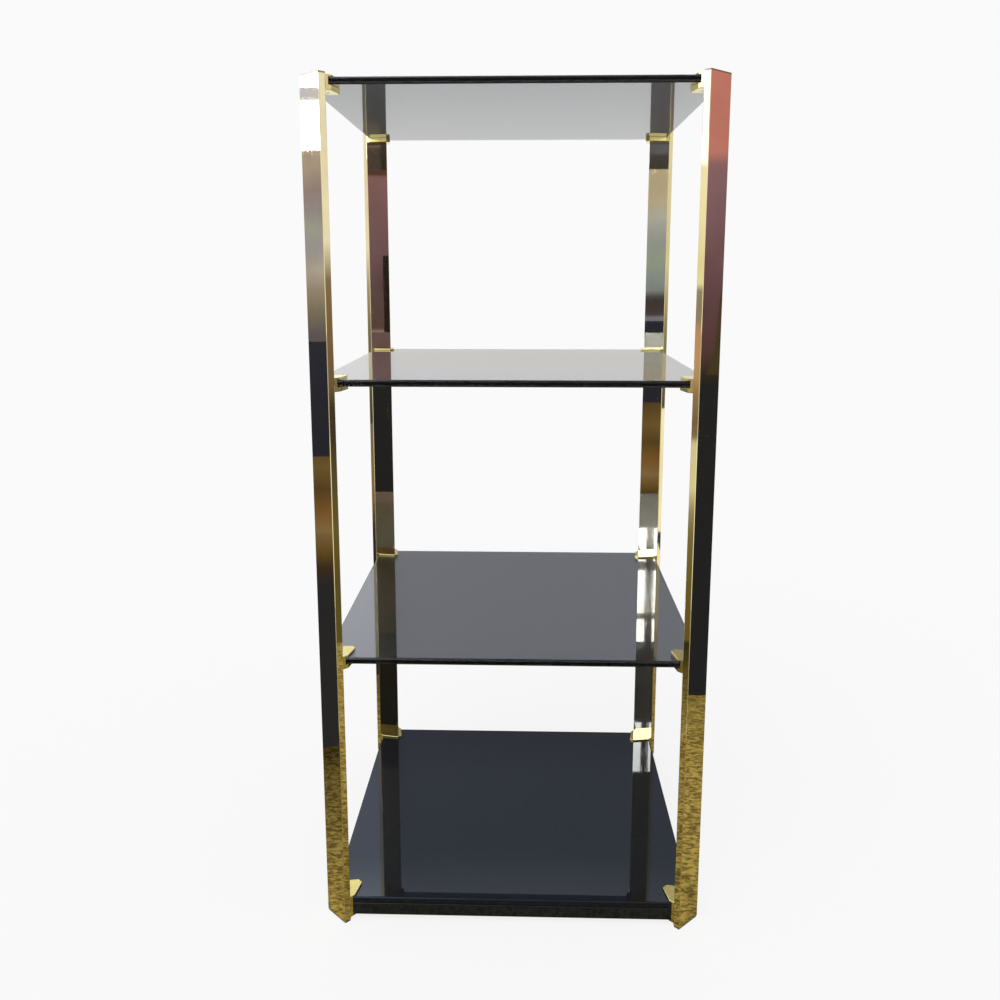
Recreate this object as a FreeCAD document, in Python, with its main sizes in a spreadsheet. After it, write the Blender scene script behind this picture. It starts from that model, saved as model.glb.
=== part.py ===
import FreeCAD, Part
import os
import Sketcher

# A square etagere, in millimetres. Four flat brass tubes stand on edge across the corners of
# the plan, at 45 degrees. Each carries a slotted clamp at every shelf. Three shelves are smoked
# glass, and the bottom one is black glass on a lacquered board. The origin is on the floor at
# the middle of the plan, with +X to the right, +Y to the back and +Z up.

doc = FreeCAD.newDocument("etagere")

# ---- driving dimensions ----------------------------------------------------------------

sizes = {
    "overall_width": 740,
    "overall_depth": 740,
    "overall_height": 1600,
    "post_width": 60,
    "post_thickness": 14,
    "post_wall": 1.5,
    "post_corner_radius": 1,
    "end_plate": 3,
    "cap_edge_radius": 0.9,
    "foot_inset": 0.8,
    "spigot_length": 15,
    "spigot_clearance": 0.15,
    "top_drop": 7,
    "upper_level": 1077,
    "lower_level": 550,
    "bottom_level": 48,
    "shelf_margin": 11,
    "glass_thickness": 12.7,
    "glass_edge_radius": 4,
    "board_thickness": 25,
    "board_edge_radius": 2,
    "clamp_inset": 1,
    "clamp_reach": 45,
    "clamp_shoulder": 12,
    "clamp_tip": 12,
    "clamp_tip_radius": 2,
    "clamp_chamfer": 0.6,
    "upper_jaw_thickness": 3.2,
    "lower_jaw_thickness": 8.5,
    "bottom_jaw_thickness": 3.2,
    "web_thickness": 6,
    "glass_gap": 0.5,
    "screw_spacing": 30,
    "screw_diameter": 3.9,
    "screw_hole": 4.3,
    "screw_head": 7.6,
    "screw_tip_chamfer": 0.5,
    "socket_width": 2.5,
    "socket_depth": 1.6,
    "backing_thickness": 4,
    "backing_margin": 7,
    "backing_height": 12,
    "backing_thread": 4,
    "pad_thickness": 0.5,
    "pad_setback": 3,
    "pad_side_inset": 9,
    "grub_place": 24,
    "grub_diameter": 4.9,
    "grub_thread": 5,
    "grub_recess": 0.6,
    "disc_thickness": 0.5,
    "disc_diameter": 11,
}

sheet = doc.addObject("Spreadsheet::Sheet", "Sizes")
for row, (name, value) in enumerate(sizes.items(), start=1):
    sheet.set("A" + str(row), name)
    sheet.set("B" + str(row), str(value))
    sheet.setAlias("B" + str(row), name)
doc.recompute()

# Every formula below names sizes in braces. A formula with a name of its own is built from
# the sheet's cells, so each body follows the sheet.
formulas = {name: "Sizes." + name for name in sizes}


def formula(text):
    return text.format_map(formulas)


def define(name, text):
    formulas[name] = "(" + formula(text) + ")"


# How far a post's rounded outer corner stands from the post's own axis, along X and along Y.
define("post_reach", "({post_width} / 2 + {post_thickness} / 2 - 2 * {post_corner_radius}) * sqrt(0.5)"
       " + {post_corner_radius}")
define("post_x", "{overall_width} / 2 - {post_reach}")
define("post_y", "{overall_depth} / 2 - {post_reach}")

# The middle of a post's inner wide face, where its clamps are seated.
define("seat_x", "{post_x} - {post_thickness} / 2 * sqrt(0.5)")
define("seat_y", "{post_y} - {post_thickness} / 2 * sqrt(0.5)")

# The shelves' sides, and the ends of the cut across each corner, parallel to the clamp's web.
define("shelf_x", "{post_x} + {shelf_margin}")
define("shelf_y", "{post_y} + {shelf_margin}")
define("corner_line", "{seat_x} + {seat_y} - ({web_thickness} + {glass_gap}) * sqrt(2)")
define("cut_x", "{corner_line} - {shelf_y}")
define("cut_y", "{corner_line} - {shelf_x}")

define("clamp_half", "{post_width} / 2 - {clamp_inset}")
define("inner_face", "{post_thickness} / 2 - {post_wall}")
define("screw_length", "{web_thickness} + {post_wall} + {backing_thickness} + {screw_tip_chamfer}")

# Level of each shelf's top face, the thickness that its clamps hold, and their lower jaws.
shelves = {
    "top": ("{overall_height} - {top_drop}", "{glass_thickness}", "{lower_jaw_thickness}"),
    "upper": ("{upper_level}", "{glass_thickness}", "{lower_jaw_thickness}"),
    "lower": ("{lower_level}", "{glass_thickness}", "{lower_jaw_thickness}"),
    "bottom": ("{bottom_level}", "({glass_thickness} + {board_thickness})", "{bottom_jaw_thickness}"),
}
for shelf, (level, held, lowerJaw) in shelves.items():
    define(shelf + "_under_jaw", lowerJaw)
    define(shelf + "_top_face", level)
    define(shelf + "_under_face", level + " - " + held)
    define(shelf + "_slot", held + " + {pad_thickness} + {disc_thickness}")
    define(shelf + "_slot_floor", "{" + shelf + "_under_face} - {disc_thickness}")
    define(shelf + "_slot_middle", "{" + shelf + "_slot_floor} + {" + shelf + "_slot} / 2")

# Each corner's side along X and Y, and the turn that points a piece's own +Y to the middle.
corners = {
    "front_left": (-1, -1, -45),
    "front_right": (1, -1, 45),
    "back_right": (1, 1, 135),
    "back_left": (-1, 1, 225),
}


# ---- drawing helpers -------------------------------------------------------------------

def newBody(name):
    body = doc.addObject("PartDesign::Body", name)
    body.Label = name
    return body


def turnAboutZ(angle):
    return FreeCAD.Rotation(FreeCAD.Vector(0, 0, 1), angle)


def place(body, x="0", y="0", z="0", turn=0):
    body.Placement = FreeCAD.Placement(FreeCAD.Vector(0, 0, 0), turnAboutZ(turn))
    body.setExpression("Placement.Base.x", formula(x))
    body.setExpression("Placement.Base.y", formula(y))
    body.setExpression("Placement.Base.z", formula(z))


def originPlane(body, role):
    return next(plane for plane in body.Origin.OriginFeatures if plane.Role == role)


def newSketch(body, name, role, x="0", y="0", z="0", turn=None):
    """x, y and z are the sketch's place along its own two directions and its normal."""
    sketch = body.newObject("Sketcher::SketchObject", name)
    sketch.AttachmentSupport = [(originPlane(body, role), "")]
    sketch.MapMode = "FlatFace"
    if turn is not None:
        sketch.AttachmentOffset = FreeCAD.Placement(FreeCAD.Vector(0, 0, 0), turn)
    sketch.setExpression("AttachmentOffset.Base.x", formula(x))
    sketch.setExpression("AttachmentOffset.Base.y", formula(y))
    sketch.setExpression("AttachmentOffset.Base.z", formula(z))
    return sketch


def fixPoint(sketch, geometry, vertex, x, y):
    """Holds one point at the formulas x and y from the sketch's origin."""
    for kind, axis, text in (("DistanceX", -2, x), ("DistanceY", -1, y)):
        if text == "0":
            sketch.addConstraint(Sketcher.Constraint("PointOnObject", geometry, vertex, axis))
            continue
        start = sketch.getPoint(geometry, vertex)
        distance = start.x if kind == "DistanceX" else start.y
        held = sketch.addConstraint(Sketcher.Constraint(kind, -1, 1, geometry, vertex, distance))
        sketch.setExpression("Constraints[" + str(held) + "]", formula(text))


def addOutline(sketch, points):
    """Draws a closed outline through points given as pairs of formulas, anticlockwise."""
    first = sketch.GeometryCount
    count = len(points)
    spoke = FreeCAD.Vector(10, 3, 0)
    starts = [turnAboutZ(360 * index / count).multVec(spoke) for index in range(count)]
    for index in range(count):
        sketch.addGeometry(Part.LineSegment(starts[index], starts[(index + 1) % count]), False)
    for index in range(count):
        following = first + (index + 1) % count
        sketch.addConstraint(Sketcher.Constraint("Coincident", first + index, 2, following, 1))
    for index, (x, y) in enumerate(points):
        fixPoint(sketch, first + index, 1, x, y)


def addRectangle(sketch, left, right, low, high):
    addOutline(sketch, [(left, low), (right, low), (right, high), (left, high)])


def addCircle(sketch, x, y, diameter):
    index = sketch.addGeometry(Part.Circle(FreeCAD.Vector(3, 2, 0), FreeCAD.Vector(0, 0, 1), 1), False)
    fixPoint(sketch, index, 3, x, y)
    held = sketch.addConstraint(Sketcher.Constraint("Diameter", index, 2))
    sketch.setExpression("Constraints[" + str(held) + "]", formula(diameter))


def addHexagon(sketch, x, y, acrossFlats):
    """A regular hexagon with two corners along the sketch's first direction."""
    half = "(" + acrossFlats + ") / 2"
    corner = "(" + acrossFlats + ") / sqrt(3)"
    side = "(" + acrossFlats + ") / sqrt(3) / 2"
    addOutline(sketch, [
        (x + " + " + corner, y),
        (x + " + " + side, y + " + " + half),
        (x + " - " + side, y + " + " + half),
        (x + " - " + corner, y),
        (x + " - " + side, y + " - " + half),
        (x + " + " + side, y + " - " + half),
    ])


def addPad(body, name, sketch, length, reverse=False):
    pad = body.newObject("PartDesign::Pad", name)
    pad.Profile = sketch
    pad.Reversed = reverse
    pad.setExpression("Length", formula(length))
    doc.recompute()
    return pad


def addPocket(body, name, sketch, length=None, reverse=False, bothWays=False):
    """Without a length the pocket goes right through."""
    before = body.Tip.Shape.Volume
    pocket = body.newObject("PartDesign::Pocket", name)
    pocket.Profile = sketch
    pocket.Reversed = reverse
    if bothWays:
        pocket.SideType = "Symmetric"
    if length is None:
        pocket.Type = "ThroughAll"
    else:
        pocket.setExpression("Length", formula(length))
    doc.recompute()
    if pocket.Shape.Volume >= before:
        raise RuntimeError(body.Label + ": " + name + " cut nothing")
    return pocket


def edgeNames(feature, wanted):
    return ["Edge" + str(index) for index, edge in enumerate(feature.Shape.Edges, start=1) if wanted(edge)]


def isUpright(edge):
    low, high = edge.Vertexes[0].Point, edge.Vertexes[-1].Point
    return abs(low.x - high.x) + abs(low.y - high.y) < 0.001


def isLevelAt(edge, heights):
    return any(all(abs(vertex.Z - height) < 0.001 for vertex in edge.Vertexes) for height in heights)


def topAndBottom(feature):
    return (feature.Shape.BoundBox.ZMin, feature.Shape.BoundBox.ZMax)


def roundEdges(body, name, feature, wanted, radius):
    fillet = body.newObject("PartDesign::Fillet", name)
    fillet.Base = (feature, edgeNames(feature, wanted))
    fillet.setExpression("Radius", formula(radius))
    doc.recompute()
    return fillet


def bevelEdges(body, name, feature, wanted, size):
    chamfer = body.newObject("PartDesign::Chamfer", name)
    chamfer.Base = (feature, edgeNames(feature, wanted))
    chamfer.setExpression("Size", formula(size))
    doc.recompute()
    return chamfer


# ---- posts and their ends --------------------------------------------------------------

def addPostSection(sketch, inset="0"):
    halfWidth = "({post_width} / 2 - " + inset + ")"
    halfThickness = "({post_thickness} / 2 - " + inset + ")"
    addRectangle(sketch, "-" + halfWidth, halfWidth, "-" + halfThickness, halfThickness)


def placeOnPost(body, corner):
    sideX, sideY, turn = corners[corner]
    place(body, str(sideX) + " * {post_x}", str(sideY) + " * {post_y}", "0", turn)


def makePost(corner):
    """A rectangular tube with two screw holes through its inner wall at each shelf."""
    body = newBody("post_" + corner)
    outer = newSketch(body, "outer_section", "XY_Plane", z="{end_plate}")
    addPostSection(outer)
    bar = addPad(body, "bar", outer, "{overall_height} - 2 * {end_plate}")
    bar = roundEdges(body, "long_edges", bar, isUpright, "{post_corner_radius}")
    inner = newSketch(body, "inner_section", "XY_Plane", z="{overall_height}")
    addPostSection(inner, "{post_wall}")
    addPocket(body, "hollow", inner)
    holes = newSketch(body, "screw_places", "XZ_Plane")
    for shelf in shelves:
        for side in ("-", ""):
            addCircle(holes, side + "{screw_spacing} / 2", "{" + shelf + "_slot_middle}", "{screw_hole}")
    addPocket(body, "screw_holes", holes)
    placeOnPost(body, corner)


def addSpigot(body, height, reverse):
    """The plug inside the tube, cut back to clear the backing plates and the screws' tips."""
    sketch = newSketch(body, "spigot_section", "XY_Plane", z=height)
    halfWidth = "({post_width} / 2 - {post_wall} - {spigot_clearance})"
    back = "-({inner_face} - {spigot_clearance})"
    front = "({inner_face} - {backing_thickness} - {screw_tip_chamfer} - {spigot_clearance})"
    addRectangle(sketch, "-" + halfWidth, halfWidth, back, front)
    addPad(body, "spigot", sketch, "{spigot_length}", reverse)


def makeCap(corner):
    body = newBody("post_cap_" + corner)
    section = newSketch(body, "plate_section", "XY_Plane", z="{overall_height} - {end_plate}")
    addPostSection(section)
    plate = addPad(body, "plate", section, "{end_plate}")
    plate = roundEdges(body, "plate_corners", plate, isUpright, "{post_corner_radius}")
    topEdge = topAndBottom(plate)[1]
    roundEdges(body, "top_edge", plate, lambda edge: isLevelAt(edge, [topEdge]), "{cap_edge_radius}")
    addSpigot(body, "{overall_height} - {end_plate}", reverse=True)
    placeOnPost(body, corner)


def makeFoot(corner):
    body = newBody("post_foot_" + corner)
    section = newSketch(body, "plate_section", "XY_Plane")
    addPostSection(section, "{foot_inset}")
    plate = addPad(body, "plate", section, "{end_plate}")
    roundEdges(body, "plate_corners", plate, isUpright, "{post_corner_radius}")
    addSpigot(body, "{end_plate}", reverse=False)
    placeOnPost(body, corner)


# ---- corner clamps ---------------------------------------------------------------------

def addClampOutline(sketch):
    """Plan of a clamp: its back along X on the post, its cut tip towards +Y."""
    addOutline(sketch, [
        ("-{clamp_half}", "0"),
        ("{clamp_half}", "0"),
        ("{clamp_half}", "{clamp_shoulder}"),
        ("{clamp_tip} / 2", "{clamp_reach}"),
        ("-{clamp_tip} / 2", "{clamp_reach}"),
        ("-{clamp_half}", "{clamp_shoulder}"),
    ])


def makeClamp(shelf, corner):
    """A solid brass block, slotted for the shelf, drilled for its screws and its grub screw."""
    body = newBody("clamp_" + shelf + "_" + corner)
    slotHeight = "{" + shelf + "_slot}"
    lowerJaw = "{" + shelf + "_under_jaw}"
    plan = newSketch(body, "plan", "XY_Plane")
    addClampOutline(plan)
    block = addPad(body, "block", plan, lowerJaw + " + " + slotHeight + " + {upper_jaw_thickness}")
    reach = block.Shape.BoundBox.YMax
    block = roundEdges(body, "tip_corners", block,
                       lambda edge: isUpright(edge) and edge.BoundBox.YMin > reach - 0.001,
                       "{clamp_tip_radius}")
    heights = topAndBottom(block)
    block = bevelEdges(body, "rims", block,
                       lambda edge: isLevelAt(edge, heights) and edge.BoundBox.YMax > 0.001,
                       "{clamp_chamfer}")

    slot = newSketch(body, "slot_section", "YZ_Plane")
    addRectangle(slot, "{web_thickness}", "{clamp_reach} + {clamp_tip}",
                 lowerJaw, lowerJaw + " + " + slotHeight)
    addPocket(body, "slot", slot, bothWays=True)

    web = newSketch(body, "web_holes", "XZ_Plane", z="-{web_thickness}")
    for side in ("-", ""):
        addCircle(web, side + "{screw_spacing} / 2", lowerJaw + " + " + slotHeight + " / 2", "{screw_hole}")
    before = body.Tip.Shape.Volume
    countersinks = body.newObject("PartDesign::Hole", "countersunk_holes")
    countersinks.Profile = web
    countersinks.Reversed = True
    countersinks.ThreadType = "None"
    countersinks.DepthType = "ThroughAll"
    countersinks.setExpression("Diameter", formula("{screw_hole}"))
    countersinks.HoleCutType = "Countersink"
    countersinks.HoleCutCustomValues = True
    countersinks.HoleCutCountersinkAngle = 90
    countersinks.setExpression("HoleCutDiameter", formula("{screw_head} + {screw_hole} - {screw_diameter}"))
    doc.recompute()
    if countersinks.Shape.Volume >= before:
        raise RuntimeError(body.Label + ": the countersunk holes cut nothing")

    tapped = newSketch(body, "grub_hole", "XY_Plane")
    addCircle(tapped, "0", "{grub_place}", "{grub_thread}")
    addPocket(body, "tapped_hole", tapped, lowerJaw, reverse=True)

    sideX, sideY, turn = corners[corner]
    place(body, str(sideX) + " * {seat_x}", str(sideY) + " * {seat_y}",
          "{" + shelf + "_slot_floor} - " + lowerJaw, turn)


# ---- shelves ---------------------------------------------------------------------------

def makeShelf(name, underFace, thickness, edgeRadius):
    """A plate with its four corners cut off at 45 degrees to lie against the clamps' webs."""
    body = newBody(name)
    plan = newSketch(body, "plan", "XY_Plane")
    addOutline(plan, [
        ("-{cut_x}", "-{shelf_y}"), ("{cut_x}", "-{shelf_y}"),
        ("{shelf_x}", "-{cut_y}"), ("{shelf_x}", "{cut_y}"),
        ("{cut_x}", "{shelf_y}"), ("-{cut_x}", "{shelf_y}"),
        ("-{shelf_x}", "{cut_y}"), ("-{shelf_x}", "-{cut_y}"),
    ])
    plate = addPad(body, "plate", plan, thickness)
    heights = topAndBottom(plate)
    roundEdges(body, "rounded_rims", plate, lambda edge: isLevelAt(edge, heights), edgeRadius)
    place(body, z=underFace)


# ---- groups of small pieces at the clamps of one shelf ---------------------------------

def clampPlan(body, name, z):
    """A level sketch in the front left clamp's own directions, at height z."""
    return newSketch(body, name, "XY_Plane", "-{seat_x}", "-{seat_y}", z, turnAboutZ(-45))


def webPlane(body, name, inward, z):
    """An upright sketch parallel to the front left clamp's web, this far inward from its post."""
    alongX = "-{seat_x} + (" + inward + ") * sqrt(0.5)"
    alongY = "{seat_y} - (" + inward + ") * sqrt(0.5)"
    turn = FreeCAD.Rotation(FreeCAD.Vector(0, 1, 0), -45)
    return newSketch(body, name, "XZ_Plane", alongX, z, alongY, turn)


def repeatAtCorners(body, features, pairSketch=None):
    """Mirrors the front left pieces to all four clamps, after pairing them along the web."""
    body.AllowCompound = True
    steps = []
    every = body.newObject("PartDesign::MultiTransform", "all_corners")
    every.Originals = features
    if pairSketch is not None:
        pair = body.newObject("PartDesign::LinearPattern", "pair")
        pair.Direction = (pairSketch, ["H_Axis"])
        pair.Reversed = True
        pair.Occurrences = 2
        pair.setExpression("Length", formula("{screw_spacing}"))
        steps.append(pair)
    for name, role in (("left_to_right", "YZ_Plane"), ("front_to_back", "XZ_Plane")):
        mirror = body.newObject("PartDesign::Mirrored", name)
        mirror.MirrorPlane = (originPlane(body, role), [""])
        steps.append(mirror)
    every.Transformations = steps
    body.Tip = every
    doc.recompute()


def makeClampScrews(shelf):
    """Countersunk screws from the slot through the web and the post's wall."""
    body = newBody("clamp_screws_" + shelf)
    middle = "{" + shelf + "_slot_middle}"
    profile = clampPlan(body, "half_profile", middle)
    axisAt = "{screw_spacing} / 2"
    headFace = "{web_thickness}"
    tip = "{web_thickness} - {screw_length}"
    edge = axisAt + " + {screw_diameter} / 2"
    addOutline(profile, [
        (axisAt, headFace),
        (axisAt, tip),
        (edge + " - {screw_tip_chamfer}", tip),
        (edge, tip + " + {screw_tip_chamfer}"),
        (edge, headFace + " - ({screw_head} - {screw_diameter}) / 2"),
        (axisAt + " + {screw_head} / 2", headFace),
    ])
    turned = body.newObject("PartDesign::Revolution", "turned")
    turned.Profile = profile
    turned.ReferenceAxis = (profile, ["Edge1"])
    turned.Angle = 360
    doc.recompute()
    socket = webPlane(body, "socket_section", headFace, middle)
    addHexagon(socket, axisAt, "0", "{socket_width}")
    recess = addPocket(body, "socket", socket, "{socket_depth}", reverse=True)
    repeatAtCorners(body, [turned, recess], profile)


def makeBackingPlates(shelf):
    """Tapped plates inside the posts that the clamp screws pull against."""
    body = newBody("backing_plates_" + shelf)
    middle = "{" + shelf + "_slot_middle}"
    plan = clampPlan(body, "plan", middle + " - {backing_height} / 2")
    halfLength = "({screw_spacing} / 2 + {backing_margin})"
    addRectangle(plan, "-" + halfLength, halfLength,
                 "-{post_wall} - {backing_thickness}", "-{post_wall}")
    plate = addPad(body, "plate", plan, "{backing_height}")
    holes = webPlane(body, "thread_places", "0", middle)
    for side in ("-", ""):
        addCircle(holes, side + "{screw_spacing} / 2", "0", "{backing_thread}")
    threads = addPocket(body, "tapped_holes", holes, reverse=True)
    repeatAtCorners(body, [plate, threads])


def makeJawPads(shelf):
    """Thin soft pads between the upper jaws and the shelf."""
    body = newBody("jaw_pads_" + shelf)
    plan = clampPlan(body, "plan", "{" + shelf + "_top_face}")
    backHalf = "({clamp_half} - {pad_side_inset})"
    backLine = "({web_thickness} + {pad_setback})"
    frontLine = "({clamp_reach} - {pad_setback})"
    addOutline(plan, [
        ("-" + backHalf, backLine), (backHalf, backLine),
        ("{clamp_tip} / 2", frontLine), ("-{clamp_tip} / 2", frontLine),
    ])
    pad = addPad(body, "pad", plan, "{pad_thickness}")
    repeatAtCorners(body, [pad])


def makeGrubScrews(shelf):
    """Headless screws in the lower jaws that press the discs up against the shelf."""
    body = newBody("grub_screws_" + shelf)
    lowerJaw = "{" + shelf + "_under_jaw}"
    foot = "{" + shelf + "_slot_floor} - " + lowerJaw + " + {grub_recess}"
    plan = clampPlan(body, "plan", foot)
    addCircle(plan, "0", "{grub_place}", "{grub_diameter}")
    shank = addPad(body, "shank", plan, lowerJaw + " - {grub_recess}")
    socket = clampPlan(body, "socket_section", foot)
    addHexagon(socket, "0", "{grub_place}", "{socket_width}")
    recess = addPocket(body, "socket", socket, "{socket_depth}", reverse=True)
    repeatAtCorners(body, [shank, recess])


def makePressureDiscs(shelf):
    body = newBody("pressure_discs_" + shelf)
    plan = clampPlan(body, "plan", "{" + shelf + "_slot_floor}")
    addCircle(plan, "0", "{grub_place}", "{disc_diameter}")
    disc = addPad(body, "disc", plan, "{disc_thickness}")
    repeatAtCorners(body, [disc])


# ---- the whole etagere -----------------------------------------------------------------

for corner in corners:
    makePost(corner)
    makeCap(corner)
    makeFoot(corner)
    for shelf in shelves:
        makeClamp(shelf, corner)

for shelf in ("top", "upper", "lower"):
    makeShelf("glass_shelf_" + shelf, "{" + shelf + "_under_face}", "{glass_thickness}",
              "{glass_edge_radius}")
makeShelf("bottom_glass", "{bottom_level} - {glass_thickness}", "{glass_thickness}",
          "{glass_edge_radius}")
makeShelf("bottom_board", "{bottom_under_face}", "{board_thickness}", "{board_edge_radius}")

for shelf in shelves:
    makeClampScrews(shelf)
    makeBackingPlates(shelf)
    makeJawPads(shelf)
    makeGrubScrews(shelf)
    makePressureDiscs(shelf)

doc.recompute()

# ---- checks and export -----------------------------------------------------------------

for item in doc.Objects:
    if "Invalid" in item.State or "Error" in item.State:
        raise RuntimeError(item.Label + " did not build: " + ", ".join(item.State))

os.makedirs("parts", exist_ok=True)
for body in doc.findObjects("PartDesign::Body"):
    if body.Shape.isNull() or not body.Shape.isValid() or not body.Shape.Solids:
        raise RuntimeError(body.Label + " has no valid solid")
    body.Shape.exportStep(os.path.join("parts", body.Label + ".step"))
    print(body.Label, len(body.Shape.Solids), "solid(s),", round(body.Shape.Volume), "mm3")
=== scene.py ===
import math

import bpy
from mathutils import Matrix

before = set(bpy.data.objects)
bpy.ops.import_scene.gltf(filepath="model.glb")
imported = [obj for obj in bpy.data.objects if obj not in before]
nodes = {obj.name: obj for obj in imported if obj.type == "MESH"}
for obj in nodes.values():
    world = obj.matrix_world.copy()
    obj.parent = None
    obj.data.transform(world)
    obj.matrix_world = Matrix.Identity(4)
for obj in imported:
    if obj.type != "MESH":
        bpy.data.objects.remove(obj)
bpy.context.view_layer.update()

scene = bpy.context.scene
print("frame loaded:", len(nodes), "nodes")

view = {
    "place": (0.0232, -2.0516, 1.2661),
    "down": 0.1804,  # radians below level
    "turn": 0.029,  # radians towards the left
    "lens": 34.435,
    "sensor": 36.0,
    "shiftX": 0.0017,
    "shiftY": -0.0531,
    "near": 0.05,
    "far": 200.0,
}


def makeCamera():
    lens = bpy.data.cameras.new("viewCamera")
    lens.lens = view["lens"]
    lens.sensor_width = view["sensor"]
    lens.shift_x = view["shiftX"]
    lens.shift_y = view["shiftY"]
    lens.clip_start = view["near"]
    lens.clip_end = view["far"]
    camera = bpy.data.objects.new("viewCamera", lens)
    camera.location = view["place"]
    camera.rotation_euler = (math.pi / 2 - view["down"], 0.0, view["turn"])
    scene.collection.objects.link(camera)
    scene.camera = camera


makeCamera()
scene.view_settings.view_transform = "Standard"
print("camera set")


def newMaterial(name):
    material = bpy.data.materials.new(name)
    material.use_nodes = True
    tree = material.node_tree
    tree.nodes.clear()
    return material, tree, tree.nodes.new("ShaderNodeOutputMaterial")


def addNode(tree, kind, inputs=None, **settings):
    node = tree.nodes.new(kind)
    for key, value in settings.items():
        setattr(node, key, value)
    for key, value in (inputs or {}).items():
        if isinstance(value, bpy.types.NodeSocket):
            tree.links.new(value, node.inputs[key])
        else:
            node.inputs[key].default_value = value
    return node


def objectPlace(tree):
    return addNode(tree, "ShaderNodeTexCoord").outputs["Object"]


def splitVector(tree, vector):
    return addNode(tree, "ShaderNodeSeparateXYZ", {0: vector}).outputs


def addNoise(tree, place, scale, detail, **extras):
    inputs = {"Vector": place, "Scale": scale, "Detail": detail, **extras}
    return addNode(tree, "ShaderNodeTexNoise", inputs).outputs["Fac"]


def addBump(tree, height, strength, distance, **settings):
    inputs = {"Height": height, "Strength": strength, "Distance": distance}
    return addNode(tree, "ShaderNodeBump", inputs, **settings)


def calculate(tree, operation, *values):
    return addNode(tree, "ShaderNodeMath", dict(enumerate(values)), operation=operation).outputs[0]


def fromRange(tree, value, ends, **settings):  # the first end becomes 0 and the second becomes 1
    inputs = {"Value": value, "From Min": ends[0], "From Max": ends[1]}
    return addNode(tree, "ShaderNodeMapRange", inputs, **settings).outputs[0]


def toRange(tree, mask, low, high):  # 0 becomes low and 1 becomes high
    return addNode(tree, "ShaderNodeMapRange", {"Value": mask, "To Min": low, "To Max": high}).outputs[0]


def blendColour(tree, mask, first, second):
    mix = addNode(tree, "ShaderNodeMix", data_type="RGBA")
    tree.links.new(mask, mix.inputs["Factor"])
    for key, value in (("A", first), ("B", second)):
        socket = [s for s in mix.inputs if s.name == key and s.type == "RGBA"][0]
        if isinstance(value, bpy.types.NodeSocket):
            tree.links.new(value, socket)
        else:
            socket.default_value = (*value, 1.0)
    return [s for s in mix.outputs if s.type == "RGBA"][0]


def colourRamp(tree, value, stops):
    node = addNode(tree, "ShaderNodeValToRGB", {0: value})
    ramp = node.color_ramp
    while len(ramp.elements) > 1:
        ramp.elements.remove(ramp.elements[-1])
    ramp.elements[0].position = stops[0][0]
    ramp.elements[0].color = (*stops[0][1], 1.0)
    for place, colour in stops[1:]:
        ramp.elements.new(place).color = (*colour, 1.0)
    return node.outputs[0]


def newMaskGroup(name, **inputs):
    group = bpy.data.node_groups.new(name, "ShaderNodeTree")
    for label, value in inputs.items():
        socket = group.interface.new_socket(name=label, in_out="INPUT", socket_type="NodeSocketFloat")
        socket.default_value = value
    group.interface.new_socket(name="Mask", in_out="OUTPUT", socket_type="NodeSocketFloat")
    return group, group.nodes.new("NodeGroupInput").outputs, group.nodes.new("NodeGroupOutput")


def useMask(tree, group, values):
    node = tree.nodes.new("ShaderNodeGroup")
    node.node_tree = group
    for key, value in values.items():
        node.inputs[key].default_value = value
    return node.outputs["Mask"]


hairline = {
    "Fineness": 500.0,
    "Cut": 0.64,
    "full": 0.8,
    # turn and stretch of each of the three directions
    "lays": (
        ((0.2, 0.1, 0.7), (1.0, 0.03, 1.0)),
        ((0.9, 0.4, -0.5), (0.04, 1.0, 1.0)),
        ((0.1, 1.2, 0.3), (1.0, 1.0, 0.03)),
    ),
}


def buildHairlines():  # thin rubbing lines that run in three directions
    group, start, end = newMaskGroup("hairlines", Fineness=hairline["Fineness"], Cut=hairline["Cut"])
    place = objectPlace(group)
    mask = None
    for turn, stretch in hairline["lays"]:
        lay = addNode(group, "ShaderNodeMapping", {"Vector": place, "Rotation": turn, "Scale": stretch})
        grain = addNoise(group, lay.outputs[0], start["Fineness"], detail=1.0)
        lines = fromRange(group, grain, (start["Cut"], hairline["full"]))
        mask = lines if mask is None else calculate(group, "MAXIMUM", mask, lines)
    group.links.new(mask, end.inputs["Mask"])
    return group


handMark = {
    "Patch": 9.0,
    "Streak": 130.0,
    "keep": (0.5, 0.72),
    "patchTwist": 0.6,
    "streakTwist": 1.5,
}


def buildHandMarks():  # soft patches left by hands and cloths
    group, start, end = newMaskGroup("handMarks", Patch=handMark["Patch"], Streak=handMark["Streak"])
    place = objectPlace(group)
    patch = addNoise(group, place, start["Patch"], detail=3.0, Distortion=handMark["patchTwist"])
    keep = fromRange(group, patch, handMark["keep"], interpolation_type="SMOOTHSTEP")
    streak = addNoise(group, place, start["Streak"], detail=2.0, Distortion=handMark["streakTwist"])
    group.links.new(calculate(group, "MULTIPLY", keep, streak), end.inputs["Mask"])
    return group


dust = {
    "Speck": 420.0,
    "Spread": 5.0,
    "upward": (0.6, 0.98),  # Z of the surface's direction, from none to all of the dust
    "sharp": (0.55, 0.75),
}


def buildSettledDust():  # fine dust, only where the surface looks up
    group, start, end = newMaskGroup("settledDust", Speck=dust["Speck"], Spread=dust["Spread"])
    shape = addNode(group, "ShaderNodeNewGeometry")
    place = objectPlace(group)
    upward = fromRange(group, splitVector(group, shape.outputs["Normal"])["Z"], dust["upward"])
    specks = addNoise(group, place, start["Speck"], detail=2.0)
    sharp = fromRange(group, specks, dust["sharp"])
    spread = addNoise(group, place, start["Spread"], detail=2.0)
    mask = calculate(group, "MULTIPLY", calculate(group, "MULTIPLY", sharp, spread), upward)
    group.links.new(mask, end.inputs["Mask"])
    return group


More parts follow.
